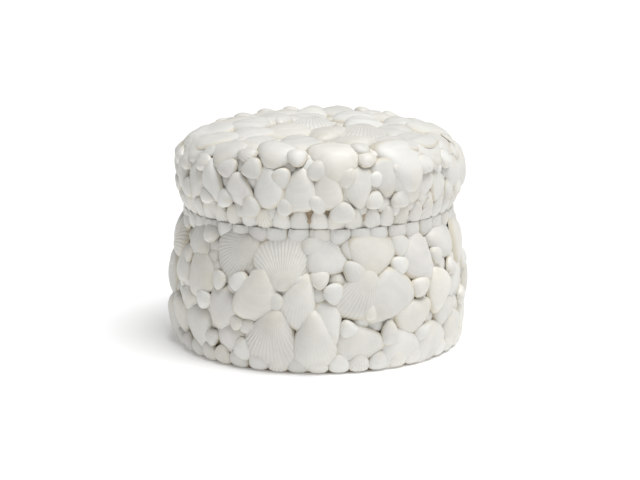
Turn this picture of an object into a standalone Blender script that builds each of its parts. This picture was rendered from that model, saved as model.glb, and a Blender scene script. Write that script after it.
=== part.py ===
"""Round wooden box with a lift-off lid, its outside covered with glued sea shells.

Metres, +Z up. The underside of the base board lies on z = 0 and the box stands on the Z axis.
Azimuths are in degrees: 0 faces -Y, the front, and they grow towards +X.
"""
import math
import random

import bmesh
import bpy
from mathutils import Matrix, Vector

# Wooden box and the board under it
BOARD_RADIUS = 0.1112
BOARD_THICKNESS = 0.0028
FOOT_RADIUS = 0.1080
BELLY_RADIUS = 0.1120
BELLY_HEIGHT = 0.0580
NECK_RADIUS = 0.0985
SEAM_HEIGHT = 0.1124
SWELL_POWER = 1.3
WALL = 0.0060
FLOOR = 0.0060

# Wooden lid, with a lip that drops into the box
LID_RADIUS = 0.1068
LID_FOOT_RADIUS = 0.1010
LID_CHAMFER = 0.0060
LID_TOP = 0.1670
LID_CORNER = 0.0110
LID_CROWN = 0.0020
LID_WALL = 0.0100
LID_PLATE = 0.0070
LIP_WALL = 0.0040
LIP_DROP = 0.0060
LIP_GRIP = 0.0080
LIP_CLEARANCE = 0.0008

# Glue bed under the shells, and the gap between pieces that touch
BED = 0.0026
FIT_GAP = 0.0003

# Fineness of the turned wood and of the shells
SEGMENTS = 36
OUTLINE_STEPS = 4
CORNER_STEPS = 3
LARGE_SIDES = 8
SMALL_SIDES = 6
LARGE_RINGS = (0.84,)
SMALL_RINGS = (0.80,)
ROOT_DEPTH = 0.0060
KEPT_SHARE = 0.36

# Form of a valve: height as a share of its length, how much it narrows at the umbo, where its
# peak lies between umbo and ventral edge, and how full it is to each side of the peak
LARGE_HEIGHT = 0.255
SMALL_HEIGHT = 0.40
LARGE_TAPER = 0.20
SMALL_TAPER = 0.12
PEAK_PLACE = 0.38
UMBO_FULLNESS = 0.50
EDGE_FULLNESS = 0.72
SIDE_FULLNESS = 0.52
LARGE_SINK = 0.0004
SMALL_LIFT = 0.0034
COURSE_LIFT = 0.0014
CORNER_LIFT = 0.0016

# Courses of small shells: pitch in degrees, then umbo, ventral edge and width in mm, and lean
FOOT_COURSE = (8.0, 16.0, 3.4, 16.8, 0.0)
NECK_COURSE = (8.57, 119.0, 102.5, 17.2, 0.0)
RIM_COURSE = (7.35, 17.0, 1.5, 15.0, 3.2)

MM = 0.001
SEED = 9

# The rows below were laid out on a box of this seam height and a lid of this radius and height,
# and keep their shares of them
LAID_SEAM_HEIGHT = 0.1124
LAID_LID_RADIUS = 0.1068
LAID_LID_HEIGHT = 0.0546

# Shells that show at the front of the box: azimuth and height (mm) of the umbo, the same of the
# ventral edge, width (mm)
BOX_LARGE = (
    (-24.5, 97, -43, 82, 36),
    (-12.5, 66.5, -15.5, 104, 39),
    (-3, 81, 8, 99, 31),
    (-20.5, 81, -26, 41, 33),
    (-42.5, 31, -36.5, 60, 27),
    (-29.5, 29, -41.5, 17, 20),
    (-14.5, 50, -19.5, 6.5, 37),
    (-4, 77, -9, 39, 25),
    (-2, 50, -1, 6, 30),
    (5.6, 24, 2.6, 57, 19),
    (20, 76, 22.5, 104, 35),
    (20, 82, 12.5, 46, 31),
    (19, 43, 35, 71, 31),
    (45, 102, 42, 69, 28),
    (47.5, 49, 31.5, 38, 25),
    (11, 37, 19, 10, 37),
    (30.5, 31, 36, 4, 33),
    (47, 31, 52, 4, 34),
    (51, 95, 72, 88, 26),
    (50, 72, 57, 45, 30),
    (66, 42, 54, 32, 22),
    (66, 73, 71, 47, 27),
    (62, 30, 74, 8, 33),
    (-44.5, 64, -60, 69, 32),
    (-51.5, 85, -64.5, 98, 27),
    (-48, 39, -62, 18, 33),
    (-54.5, 50, -67, 42, 18),
    (-62, 62, -74, 78, 28),
    (-66, 40, -76, 18, 30),
)
BOX_SMALL = (
    (-26, 97, -34, 100, 14),
    (-12.8, 66, -15, 81, 15),
    (-6.6, 98, 2.2, 98, 16),
    (1, 67.5, 0.5, 81, 14),
    (-35.3, 68, -27.6, 68, 15),
    (-20, 78, -25.5, 69, 14),
    (-12.7, 58, -18.9, 56, 15),
    (-27, 41.5, -27, 29.5, 16),
    (-29, 39, -35.5, 36, 12),
    (-38, 70, -44, 66, 14),
    (-30, 26, -31, 8.5, 15),
    (-14.5, 50, -17, 35, 17),
    (-4.5, 75, -9.8, 67, 13),
    (-6, 11.5, -6, 26, 15),
    (2, 66, 8.7, 61, 15),
    (16.5, 100, 10.3, 92, 15),
    (17.7, 82, 10, 78, 18),
    (17.4, 46, 23.8, 51, 14),
    (36.8, 83, 30.2, 77, 14),
    (38.5, 98, 31, 94, 16),
    (46, 66, 38, 60, 14),
    (27.5, 40, 28.5, 21, 13),
    (47.5, 29, 40, 23, 12),
    (9.5, 43, 13.5, 30, 13),
    (61, 67, 67, 73, 13),
    (-44.8, 52, -53, 50, 15),
    (-45.5, 100, -54.5, 102, 15),
    (-42.5, 26, -48.6, 17, 12),
    (51, 87, 57, 79, 13),
    (-61, 84, -66, 76, 12),
)

# The same for the lid, where the second and fourth value are the reach (mm): the way up the lid's
# side from its rim, over the corner and in across the top
LID_LARGE = (
    (-33, 43, -32.5, 19.5, 24),
    (-20.3, 50, -20.5, 19, 23),
    (-6.5, 49, -7.5, 18, 23),
    (5, 50, 4, 20, 20),
    (17, 20, 14, 48, 23),
    (29, 27, 24, 53, 21),
    (41, 21, 35.5, 50, 25),
    (-48, 50, -46.5, 20, 22),
    (-52.5, 36, -65, 30, 27),
    (53, 36, 43.5, 31, 18),
    (62, 30, 52.5, 27, 20),
)
LID_SMALL = (
    (-38, 39, -38, 53, 18),
    (-35.7, 21, -43, 23, 14),
    (-30.5, 45, -22.3, 48, 15),
    (-28, 27, -26, 11, 14),
    (-18, 44, -11.3, 39, 15),
    (-9.3, 20, -16, 21, 13),
    (-3.5, 27, 3, 19, 13),
    (0, 55, 0, 40, 16),
    (13.7, 48, 8, 37, 13),
    (23, 53, 15.7, 53, 12),
    (24, 45, 20.2, 37, 11),
    (18.5, 21, 25.5, 26, 13),
    (29.5, 48, 36, 42, 12),
    (29.5, 21, 37.5, 26, 14),
    (9, 24, 9, 8, 18),
    (51, 46, 43, 46, 14),
    (-48, 47, -56, 47, 14),
    (-45, 21, -53, 22, 12),
)
# Shells bent over the lid's corner at the front: azimuth, width (mm)
CORNER_LARGE = ((-61, 38), (-43, 36), (-18.5, 31), (5.6, 37), (31, 40), (53, 34))
CORNER_SMALL = (
    (-34.5, 57, -26, 55, 12),
    (-12.5, 58, -5, 54, 14),
    (14, 64, 22, 60, 14),
    (-54, 60, -50, 50, 13),
    (44, 57, 41, 68, 14),
)
# Shells across the top: x and y (mm) of the umbo, the same of the ventral edge, width (mm)
TOP_LARGE = (
    (-48, -88, -52, -54, 34),
    (-20, -60, -8, -92, 33),
    (28, -92, 22, -58, 33),
    (62, -56, 46, -86, 34),
    (86, -28, 72, -62, 36),
    (-86, -24, -74, -58, 35),
    (-62, -22, -44, -50, 33),
    (-30, -12, -26, -50, 36),
    (2, -58, 4, -22, 34),
    (36, -14, 30, -54, 36),
    (68, -8, 52, -44, 35),
    (-88, 22, -88, -14, 34),
    (-44, 22, -66, -8, 30),
    (-2, 20, -10, -18, 36),
    (30, 26, 42, -12, 34),
    (90, 30, 88, -8, 34),
    (60, 34, 76, 2, 32),
    (-70, 62, -74, 26, 34),
    (-36, 50, -46, 14, 34),
    (4, 56, -20, 30, 33),
    (22, 62, 30, 28, 32),
    (66, 66, 54, 34, 33),
    (-50, 84, -42, 54, 32),
    (-24, 92, -30, 62, 25),
    (-4, 92, -10, 58, 26),
    (26, 94, 14, 64, 30),
    (48, 86, 44, 56, 28),
    (76, 62, 84, 34, 30),
)
TOP_SMALL = (
    (-36, -68, -28, -78, 16),
    (-58, -8, -50, 4, 22),
    (10, -88, 6, -76, 14),
    (-12, -52, -18, -40, 16),
    (14, -44, 22, -34, 15),
    (56, -46, 62, -32, 16),
    (-62, -56, -60, -42, 14),
    (-26, -6, -20, 6, 16),
    (14, 2, 24, 8, 15),
    (50, -2, 56, 10, 15),
    (-78, 8, -72, -4, 14),
    (-54, 24, -58, 38, 15),
    (-20, 26, -30, 34, 14),
    (10, 34, 14, 46, 15),
    (44, 34, 52, 44, 15),
    (76, 16, 84, 24, 14),
    (-60, 62, -52, 72, 15),
    (-14, 72, -18, 84, 15),
    (34, 66, 40, 76, 15),
    (62, 74, 72, 76, 14),
)
CORNER_UMBO_REACH = 46
CORNER_EDGE_REACH = 72

# Hidden back: first and last azimuth of the box, and of the lid
BOX_HIDDEN = (84, 278)
LID_HIDDEN = (71, 287)
CORNER_HIDDEN = (73, 280)
BOX_ROWS = (24, 54, 85)
BOX_ROW_PITCH = 17.6
BOX_JOINT_ROWS = (39, 70, 99)
BOX_JOINT_PITCH = 13.0
LID_ROW = 34
LID_ROW_PITCH = 13.0
LID_JOINT_ROWS = (22, 46)
CORNER_PITCH = 20.5

WOOD_COLOUR = (0.52, 0.36, 0.21, 1.0)
BOARD_COLOUR = (0.46, 0.31, 0.17, 1.0)
SHELL_COLOUR = (0.86, 0.83, 0.75, 1.0)


def box_radius(height):
    """Outer radius of the wooden box: a belly that narrows to the foot and to the neck."""
    if height < BELLY_HEIGHT:
        share = (BELLY_HEIGHT - height) / BELLY_HEIGHT
        return BELLY_RADIUS - (BELLY_RADIUS - FOOT_RADIUS) * share ** SWELL_POWER
    share = (height - BELLY_HEIGHT) / (SEAM_HEIGHT - BELLY_HEIGHT)
    return BELLY_RADIUS - (BELLY_RADIUS - NECK_RADIUS) * share ** SWELL_POWER


def box_side(low, high, offset):
    """Radius and height along the box's side, from low to high, moved out by offset."""
    heights = [low + (high - low) * step / OUTLINE_STEPS for step in range(OUTLINE_STEPS + 1)]
    return [(box_radius(min(height, SEAM_HEIGHT)) + offset, height) for height in heights]


def lid_outline(offset):
    """Radius and height from the lid's rim up its side and over its corner to the top's centre."""
    foot = SEAM_HEIGHT + FIT_GAP
    corner = LID_CORNER + offset
    inner = LID_RADIUS - LID_CORNER
    centre = LID_TOP - LID_CORNER
    points = [(LID_FOOT_RADIUS + offset, foot), (LID_RADIUS + offset, foot + LID_CHAMFER)]
    for step in range(CORNER_STEPS + 1):
        angle = math.pi / 2 * step / CORNER_STEPS
        points.append((inner + corner * math.cos(angle), centre + corner * math.sin(angle)))
    points.append((0, LID_TOP + LID_CROWN + offset))
    return points


def around(azimuth, radius, height):
    """Point at an azimuth."""
    angle = math.radians(azimuth)
    return Vector((radius * math.sin(angle), -radius * math.cos(angle), height))


def box_spot(azimuth, height):
    """Point on the glue bed of the box at a height in mm, and the direction away from it."""
    height = height * MM * SEAM_HEIGHT / LAID_SEAM_HEIGHT
    step = 0.5 * MM
    clipped = min(height, SEAM_HEIGHT - step)
    slope = (box_radius(clipped + step) - box_radius(clipped - step)) / (2 * step)
    radius = box_radius(min(height, SEAM_HEIGHT)) + BED
    normal = around(azimuth, 1, -slope).normalized()
    return around(azimuth, radius, height), normal


def lid_spot(azimuth, reach):
    """Point on the glue bed of the lid at a reach in mm from its rim, and the direction away."""
    return lid_place(azimuth, reach * MM * (LID_TOP - SEAM_HEIGHT) / LAID_LID_HEIGHT)


def lid_place(azimuth, reach):
    """The same, for a true reach."""
    outline = lid_outline(BED)
    for (radius, height), (next_radius, next_height) in zip(outline, outline[1:]):
        run = math.hypot(next_radius - radius, next_height - height)
        if reach <= run:
            break
        reach -= run
    share = min(reach / run, 1)
    spot = around(azimuth, radius + (next_radius - radius) * share,
                  height + (next_height - height) * share)
    normal = around(azimuth, next_height - height, radius - next_radius).normalized()
    return spot, normal


def valve_point(turn, stage, length, width, large):
    """Point of a valve: turn goes round the margin from the umbo, stage from umbo to margin."""
    taper = LARGE_TAPER if large else SMALL_TAPER
    height = length * (LARGE_HEIGHT if large else SMALL_HEIGHT)
    across = stage * width / 2 * math.sin(turn) * (1 - taper * math.cos(turn))
    along = stage * (1 - math.cos(turn)) / 2
    return Vector((across, along * length, height * dome(along, across, width, taper)))


def dome(along, across, width, taper):
    """Height of a valve, 0 to 1, at a share of its length and a distance from its middle line."""
    if along < PEAK_PLACE:
        from_peak = (PEAK_PLACE - along) / PEAK_PLACE
        profile = (1 - from_peak ** 2) ** UMBO_FULLNESS
    else:
        from_peak = (along - PEAK_PLACE) / (1 - PEAK_PLACE)
        profile = max(0, 1 - from_peak ** 2) ** EDGE_FULLNESS
    lean = 1 - 2 * along
    half_width = width / 2 * math.sqrt(max(1e-9, 1 - lean ** 2)) * (1 - taper * lean)
    return profile * max(0, 1 - (across / half_width) ** 2) ** SIDE_FULLNESS


def seat(umbo, edge, lift):
    """Frame of a shell at its umbo (X across, Y to the ventral edge, Z outwards) and its length."""
    along = edge[0] - umbo[0]
    out = umbo[1] + edge[1]
    y_axis = along.normalized()
    z_axis = (out - y_axis * out.dot(y_axis)).normalized()
    frame = Matrix((y_axis.cross(z_axis), y_axis, z_axis)).transposed().to_4x4()
    frame.translation = umbo[0] + z_axis * lift
    return frame, along.length


def add_valve(mesh, umbo, edge, width, large, lift):
    """Add one closed shell with a root that goes down into the glue bed."""
    frame, length = seat(umbo, edge, lift)
    sides, stages = (LARGE_SIDES, LARGE_RINGS) if large else (SMALL_SIDES, SMALL_RINGS)
    turns = [(side + 0.5) * 2 * math.pi / sides for side in range(sides)]
    root = Vector((0, 0, -ROOT_DEPTH - lift))
    rings = [[mesh.verts.new(frame @ (valve_point(turn, 1, length, width, large) + root))
              for turn in turns]]
    for stage in stages:
        rings.append([mesh.verts.new(frame @ valve_point(turn, stage, length, width, large))
                      for turn in turns])
    peak = mesh.verts.new(frame @ valve_point(math.pi, PEAK_PLACE, length, width, large))
    mesh.faces.new(rings[0][::-1])
    for side in range(sides):
        after = (side + 1) % sides
        for low, high in zip(rings, rings[1:]):
            mesh.faces.new((low[side], low[after], high[after], high[side]))
        mesh.faces.new((rings[-1][side], rings[-1][after], peak))


def rows_to_shells(rows, spot, large, lift=None):
    """Umbo, edge, width, size class and lift of shells, from rows in the spot's own terms."""
    if lift is None:
        lift = -LARGE_SINK if large else SMALL_LIFT
    shells = []
    for umbo_first, umbo_second, edge_first, edge_second, width in rows:
        umbo = spot(umbo_first, umbo_second)
        edge = spot(edge_first, edge_second)
        shells.append((umbo, edge, width * MM, large, lift))
    return shells


def course(spot, pitch, umbo_way, edge_way, width, lean):
    """Small shells side by side all the way round, leaning away from the front."""
    count = round(360 / pitch)
    shells = []
    for index in range(count):
        azimuth = index * 360 / count
        shift = -lean * math.sin(math.radians(azimuth)) / 2
        umbo = spot(azimuth + shift, umbo_way)
        edge = spot(azimuth - shift, edge_way)
        shells.append((umbo, edge, width * MM, False, COURSE_LIFT))
    return shells


def turned_row(azimuth, way, radius, length, width, turn):
    """Row of a shell centred at an azimuth and a way, its edge turned from straight down."""
    rise = -math.cos(math.radians(turn)) * length / 2
    sweep = math.degrees(math.sin(math.radians(turn)) * length / 2 / radius)
    return (azimuth - sweep, way - rise, azimuth + sweep, way + rise, width)


def spread(first, last, pitch):
    """Azimuths from first to last, about one pitch apart."""
    count = max(1, round((last - first) / pitch))
    return [first + (last - first) * index / count for index in range(count + 1)]


def hidden_box_rows(rng):
    """Large and small rows round the back of the box."""
    first, last = BOX_HIDDEN
    radius = BELLY_RADIUS / MM
    large, small = [], []
    for row, height in enumerate(BOX_ROWS):
        for azimuth in spread(first + row % 2 * 8, last - row % 2 * 8, BOX_ROW_PITCH):
            length = rng.uniform(33, 41)
            width = length * rng.uniform(0.84, 1.0)
            turn = rng.uniform(-150, 150)
            place = azimuth + rng.uniform(-2, 2)
            large.append(turned_row(place, height + rng.uniform(-3, 3), radius, length, width, turn))
    for row, height in enumerate(BOX_JOINT_ROWS):
        for azimuth in spread(first - 4 + row % 2 * 6, last + 4 - row % 2 * 6, BOX_JOINT_PITCH):
            length = rng.uniform(14, 17)
            place = azimuth + rng.uniform(-3, 3)
            turn = rng.uniform(-180, 180)
            small.append(turned_row(place, height + rng.uniform(-4, 4), radius, length, length, turn))
    return large, small


def hidden_lid_rows(rng):
    """Large and small rows round the back of the lid's side."""
    first, last = LID_HIDDEN
    radius = LID_RADIUS / MM
    large, small = [], []
    for azimuth in spread(first, last, LID_ROW_PITCH):
        length = rng.uniform(26, 30)
        turn = rng.choice((0, 180)) + rng.uniform(-20, 20)
        large.append(turned_row(azimuth, LID_ROW, radius, length, rng.uniform(22, 25), turn))
    for row, reach in enumerate(LID_JOINT_ROWS):
        for azimuth in spread(first - 6, last + 6, LID_ROW_PITCH):
            length = rng.uniform(13, 16)
            turn = rng.uniform(-180, 180)
            place = azimuth + rng.uniform(-2, 2)
            small.append(turned_row(place, reach + rng.uniform(-2, 2), radius, length, length, turn))
    return large, small


def corner_rows(rng):
    """Large shells bent over the lid's corner, and small ones on their joints at the back."""
    large = [(azimuth, CORNER_UMBO_REACH, azimuth, CORNER_EDGE_REACH, width)
             for azimuth, width in CORNER_LARGE]
    small = list(CORNER_SMALL)
    first, last = CORNER_HIDDEN
    azimuths = spread(first, last, CORNER_PITCH)
    for azimuth in azimuths:
        lean = rng.uniform(-3, 3)
        width = rng.uniform(34, 40)
        large.append((azimuth - lean, CORNER_UMBO_REACH, azimuth + lean, CORNER_EDGE_REACH, width))
    for azimuth in azimuths[1:]:
        place = azimuth - CORNER_PITCH / 2
        small.append(turned_row(place, 57, LID_RADIUS / MM, 14, 14, rng.uniform(-180, 180)))
    return large, small


def top_spot(x, y):
    """Point on the glue bed of the lid's top at x and y in mm, and the direction away from it."""
    outline = lid_outline(BED)
    full_reach = sum(math.dist(low, high) for low, high in zip(outline, outline[1:]))
    from_centre = math.hypot(x, y) * MM * LID_RADIUS / LAID_LID_RADIUS
    return lid_place(math.degrees(math.atan2(x, -y)), full_reach - from_centre)


def turned(name, outline, material, guide=False):
    """Solid turned round the Z axis, from an outline that starts and ends on it."""
    mesh = bmesh.new()
    rings = []
    for radius, height in outline:
        if radius == 0:
            rings.append([mesh.verts.new((0, 0, height))] * SEGMENTS)
            continue
        rings.append([mesh.verts.new(around(360 * index / SEGMENTS, radius, height))
                      for index in range(SEGMENTS)])
    for low, high in zip(rings, rings[1:]):
        for index in range(SEGMENTS):
            after = (index + 1) % SEGMENTS
            corners = (low[index], low[after], high[after], high[index])
            mesh.faces.new(tuple(dict.fromkeys(corners)))
    bmesh.ops.recalc_face_normals(mesh, faces=mesh.faces)
    return mesh_object(name, mesh, material, guide)


def mesh_object(name, mesh, material, guide=False):
    """Object from a bmesh; a guide only shapes another object."""
    data = bpy.data.meshes.new(name)
    mesh.to_mesh(data)
    mesh.free()
    solid = bpy.data.objects.new(name, data)
    bpy.context.scene.collection.objects.link(solid)
    if guide:
        solid.hide_render = True
        solid.display_type = "WIRE"
        return solid
    data.materials.append(material)
    data.shade_smooth()
    data.set_sharp_from_angle(angle=math.radians(35))
    return solid


def coat(name, bed_outline, cutter_outline, shells, material):
    """Glue bed and shells joined into one solid, cut to fit the wood that it covers."""
    solid = turned(name, bed_outline, material)
    mesh = bmesh.new()
    for umbo, edge, width, large, lift in shells:
        add_valve(mesh, umbo, edge, width, large, lift)
    bmesh.ops.recalc_face_normals(mesh, faces=mesh.faces)
    valves = mesh_object(name + "_valves", mesh, None, guide=True)
    cutter = turned(name + "_cutter", cutter_outline, None, guide=True)
    join = solid.modifiers.new("join_shells", "BOOLEAN")
    join.operation = "UNION"
    join.use_self = True
    join.object = valves
    split = solid.modifiers.new("split_facets", "TRIANGULATE")
    split.ngon_method = "BEAUTY"
    thin = solid.modifiers.new("merge_small_facets", "DECIMATE")
    thin.ratio = KEPT_SHARE
    cut = solid.modifiers.new("fit_to_wood", "BOOLEAN")
    cut.operation = "DIFFERENCE"
    cut.object = cutter
    return solid


def make_material(name, colour, roughness):
    """Plain material of one colour."""
    material = bpy.data.materials.new(name)
    material.use_nodes = True
    shader = material.node_tree.nodes["Principled BSDF"]
    shader.inputs["Base Color"].default_value = colour
    shader.inputs["Roughness"].default_value = roughness
    shader.inputs["Metallic"].default_value = 0.0
    material.diffuse_color = colour
    return material


def base_board(material):
    """Thin round board under the box."""
    outline = [(0, 0), (BOARD_RADIUS, 0), (BOARD_RADIUS, BOARD_THICKNESS), (0, BOARD_THICKNESS)]
    return turned("base_board", outline, material)


def box_body(material):
    """Hollow wooden box, open at the top."""
    low = BOARD_THICKNESS + FIT_GAP
    floor = low + FLOOR
    outer = box_side(low, SEAM_HEIGHT, 0)
    inner = box_side(floor, SEAM_HEIGHT, -WALL)
    outline = [(0, low)] + outer + inner[::-1] + [(0, floor)]
    return turned("box_body", outline, material)


def box_coat(material, rng):
    """Shells round the box."""
    low = BOARD_THICKNESS + FIT_GAP
    large, small = hidden_box_rows(rng)
    shells = rows_to_shells(list(BOX_LARGE) + large, box_spot, True)
    shells += rows_to_shells(list(BOX_SMALL) + small, box_spot, False)
    shells += course(box_spot, *FOOT_COURSE)
    shells += course(box_spot, *NECK_COURSE)
    side = box_side(low, SEAM_HEIGHT, BED)
    bed = [(0, low)] + side[:-1] + [(side[-1][0], SEAM_HEIGHT + BED), (0, SEAM_HEIGHT + BED)]
    wide = BELLY_RADIUS * 2
    inside = box_side(low, SEAM_HEIGHT, FIT_GAP)
    cutter = [(0, -wide), (inside[0][0], -wide)] + inside
    cutter += [(wide, SEAM_HEIGHT), (wide, wide), (0, wide)]
    return coat("body_shells", bed, cutter, shells, material)


def lid(material):
    """Hollow wooden lid that rests on the box's rim, with a lip inside it."""
    foot = SEAM_HEIGHT + FIT_GAP
    lip_outer = box_radius(SEAM_HEIGHT) - WALL - LIP_CLEARANCE
    lip_inner = lip_outer - LIP_WALL
    hollow = LID_RADIUS - LID_WALL
    ceiling = LID_TOP - LID_PLATE
    outline = lid_outline(0)[::-1]
    outline += [(lip_outer, foot), (lip_outer, foot - LIP_DROP), (lip_inner, foot - LIP_DROP)]
    outline += [(lip_inner, foot + LIP_GRIP), (hollow, foot + LIP_GRIP)]
    outline += [(hollow, ceiling), (0, ceiling)]
    return turned("lid", outline, material)


def lid_coat(material, rng):
    """Shells round and on the lid."""
    foot = SEAM_HEIGHT + FIT_GAP
    side_large, side_small = hidden_lid_rows(rng)
    corner_large, corner_small = corner_rows(rng)
    shells = rows_to_shells(list(LID_LARGE) + side_large, lid_spot, True)
    shells += rows_to_shells(corner_large, lid_spot, True, CORNER_LIFT)
    shells += rows_to_shells(TOP_LARGE, top_spot, True)
    shells += rows_to_shells(list(LID_SMALL) + side_small + corner_small, lid_spot, False)
    shells += rows_to_shells(TOP_SMALL, top_spot, False)
    shells += course(lid_spot, *RIM_COURSE)
    side = lid_outline(BED)
    bed = [(0, foot - BED), (side[0][0], foot - BED)] + side[1:]
    wide = LID_RADIUS * 2
    cutter = [(0, 0), (wide, 0), (wide, foot)] + lid_outline(FIT_GAP)
    return coat("lid_shells", bed, cutter, shells, material)


def main():
    for item in list(bpy.data.objects):
        bpy.data.objects.remove(item, do_unlink=True)
    rng = random.Random(SEED)
    board_wood = make_material("board_wood", BOARD_COLOUR, 0.7)
    box_wood = make_material("box_wood", WOOD_COLOUR, 0.65)
    shell = make_material("ivory_shell", SHELL_COLOUR, 0.5)
    base_board(board_wood)
    box_body(box_wood)
    box_coat(shell, rng)
    lid(box_wood)
    lid_coat(shell, rng)


main()
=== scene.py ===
"""Looks of a round wooden box whose outside is covered with glued sea shells.

Metres, +Z up. The box stands on z = 0, on the Z axis. Azimuths are in degrees: 0 faces -Y, the
front, and they grow towards +X. The wood and nearly all rows of shells are those of the part. The
shells themselves are finer and fuller here, and small ones fill the gaps between them.
"""
import math
import random
from collections import namedtuple

import bpy
import numpy as np
from mathutils import Matrix, Quaternion, Vector


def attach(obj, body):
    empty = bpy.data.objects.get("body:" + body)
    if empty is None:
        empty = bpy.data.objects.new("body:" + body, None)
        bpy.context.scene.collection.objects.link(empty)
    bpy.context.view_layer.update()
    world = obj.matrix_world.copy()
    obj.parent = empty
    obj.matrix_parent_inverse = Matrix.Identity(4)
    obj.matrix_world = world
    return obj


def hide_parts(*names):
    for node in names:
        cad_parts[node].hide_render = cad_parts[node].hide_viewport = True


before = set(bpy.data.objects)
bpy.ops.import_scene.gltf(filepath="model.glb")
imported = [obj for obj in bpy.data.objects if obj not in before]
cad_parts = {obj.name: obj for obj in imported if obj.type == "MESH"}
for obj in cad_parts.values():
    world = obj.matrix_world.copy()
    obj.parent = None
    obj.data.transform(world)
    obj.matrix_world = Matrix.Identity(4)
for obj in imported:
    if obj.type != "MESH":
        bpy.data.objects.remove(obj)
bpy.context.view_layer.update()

# Wooden box and lid, as in the part
BOARD_THICKNESS = 0.0028
FOOT_RADIUS = 0.1080
BELLY_RADIUS = 0.1120
BELLY_HEIGHT = 0.0580
NECK_RADIUS = 0.0985
SEAM_HEIGHT = 0.1124
SWELL_POWER = 1.3
LID_RADIUS = 0.1068
LID_FOOT_RADIUS = 0.1010
LID_CHAMFER = 0.0060
LID_TOP = 0.1670
LID_CORNER = 0.0110
LID_CROWN = 0.0020
CORNER_STEPS = 3
BED = 0.0026
FIT_GAP = 0.0003
# Step up and down over which the slope of the box's side is measured
SLOPE_STEP = 0.0005

# Heights of valves, as shares of their length
LARGE_HEIGHT = 0.29
SMALL_HEIGHT = 0.38
RIM_HEIGHT = 0.245
NECK_HEIGHT = 0.30
CORNER_HEIGHT = 0.44
TOP_HEIGHT = 0.27
TOP_SMALL_HEIGHT = 0.32
TOP_HIGH_HEIGHT = 0.48

# Place of a valve's peak along it, and how full it is on each side of the peak and across
PEAK_PLACE = 0.38
UMBO_FULLNESS = 0.50
EDGE_FULLNESS = 0.50
SIDE_FULLNESS = 0.38

# How far valves sink into the glue bed or stand off it
LARGE_SINK = 0.0004
SMALL_LIFT = 0.0034
RIM_LIFT = 0.0013
FOOT_LIFT = 0.0026
NECK_LIFT = 0.0012
CORNER_LIFT = 0.0036
CORNER_HIDDEN_LIFT = 0.0006
SMALL_HIDDEN_LIFT = 0.0024
TOP_SMALL_LIFT = 0.0018
TOP_HIGH_LIFT = 0.0028

# Courses of small shells: pitch in degrees, then umbo, ventral edge and width in mm, and lean. The
# neck and the rim course reach past the seam and are cut there
FOOT_COURSE = (8.0, 16.0, 1.5, 16.8, 0.0)
NECK_COURSE = (8.57, 120.0, 99.6, 16.8, 0.0)
RIM_COURSE = (7.35, 18.5, -8.5, 16.2, 3.2)

MM = 0.001
SEED = 9
FINISH_SEED = 31

# How much the large shells are lifted, tipped and rolled at random, in metres and degrees, so that
# edges lie over each other
LIFTS = (-0.0006, 0.0014)
TIPS = (-5.0, 6.0)
ROLLS = (-8.0, 8.0)
# Tip of the front shells bent over the lid's corner, and roll of those on the lid's side, which
# lie one over the next like tiles
CORNER_TIP = 7.0
LID_SIDE_ROLL = 9.0

# How much wider and longer a valve is than its row says, so that it reaches under its neighbours
GROW_WIDE = 1.24
GROW_LONG = 1.14
SMALL_GROW_WIDE = 1.14
SMALL_GROW_LONG = 1.10
CORNER_GROW_WIDE = 1.14
COURSE_GROW_WIDE = 1.04

# Outline of a valve: how far its fan opens to each side, how far its umbo lies back, its taper to
# the umbo and how that varies, how blunt its ends are, and how skew and slanted it is at most
FAN_REACH = math.radians(88)
UMBO_BACK = 0.05
FAN_TAPER = 0.36
SMALL_FAN_TAPER = 0.22
TAPER_VARIES = (0.8, 1.15)
UMBO_POWER = 1.95
EDGE_POWER = 2.4
SKEW = 0.07
SKEW_FACTOR = 4
SLANT = 0.20
OUTLINE_STEPS = 721
WIDTH_STEPS = 101

# Body of a valve: the beak that the umbo makes, its wall, its rim, and the share of its outline
# that the hollow inside has
BEAK = 0.10
BEAK_REACH = 0.22
WALL = 0.0012
RIM = 0.0004
HOLLOW_SHARE = 0.95
HOLLOW_STAGES = (1, 0.7, 0.35)

# Relief of a valve: ribs, which fade towards the umbo, rests of its growth, and slow waves
RIB_FULLNESS = 0.5
RIB_LEVEL = 0.6
RIB_ONSET = 1.4
PLAIN_RIDGE = 0.8
REST_STAGES = (0.42, 0.9)
REST_DEPTH = 0.004
REST_SHARPNESS = 0.008
WAVE = 0.0009
WAVE_RATE = 19
# Growth marks of the hollow inside; the second, a low place on a rib, gives it part of the painted
# shade of the rib grooves
INSIDE_MARKS = (0.2, 0.4)

# Stages of growth at which a valve has a ring of points, from its margin to its umbo
LARGE_STAGES = (1, 0.985, 0.95, 0.90, 0.83, 0.75, 0.66, 0.56, 0.46, 0.36, 0.27, 0.19, 0.12,
                0.06, 0.025)
SMALL_STAGES = (1, 0.97, 0.90, 0.80, 0.67, 0.52, 0.37, 0.23, 0.11, 0.04)

# Kinds of valve: columns round its fan, ribs, height of a rib as a share of the valve's length,
# number of growth rests that show
Kind = namedtuple("Kind", "columns ribs rib_height rests")
SMOOTH = Kind(56, 0, 0.0, 0)
LEDGED = Kind(56, 0, 0.0, 1)
FAINT = Kind(109, 36, 0.0050, 0)
RIBBED = Kind(145, 36, 0.0092, 0)
SMALL_SMOOTH = Kind(28, 0, 0.0, 0)
SMALL_RIBBED = Kind(61, 15, 0.012, 0)
FILLER = Kind(20, 0, 0.0, 0)
# Kinds at the back, and how often each comes
LARGE_KINDS = ((SMOOTH, LEDGED, FAINT, RIBBED), (4, 1, 3, 3))
SMALL_KINDS = ((SMALL_SMOOTH, SMALL_RIBBED), (4, 1))

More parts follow.
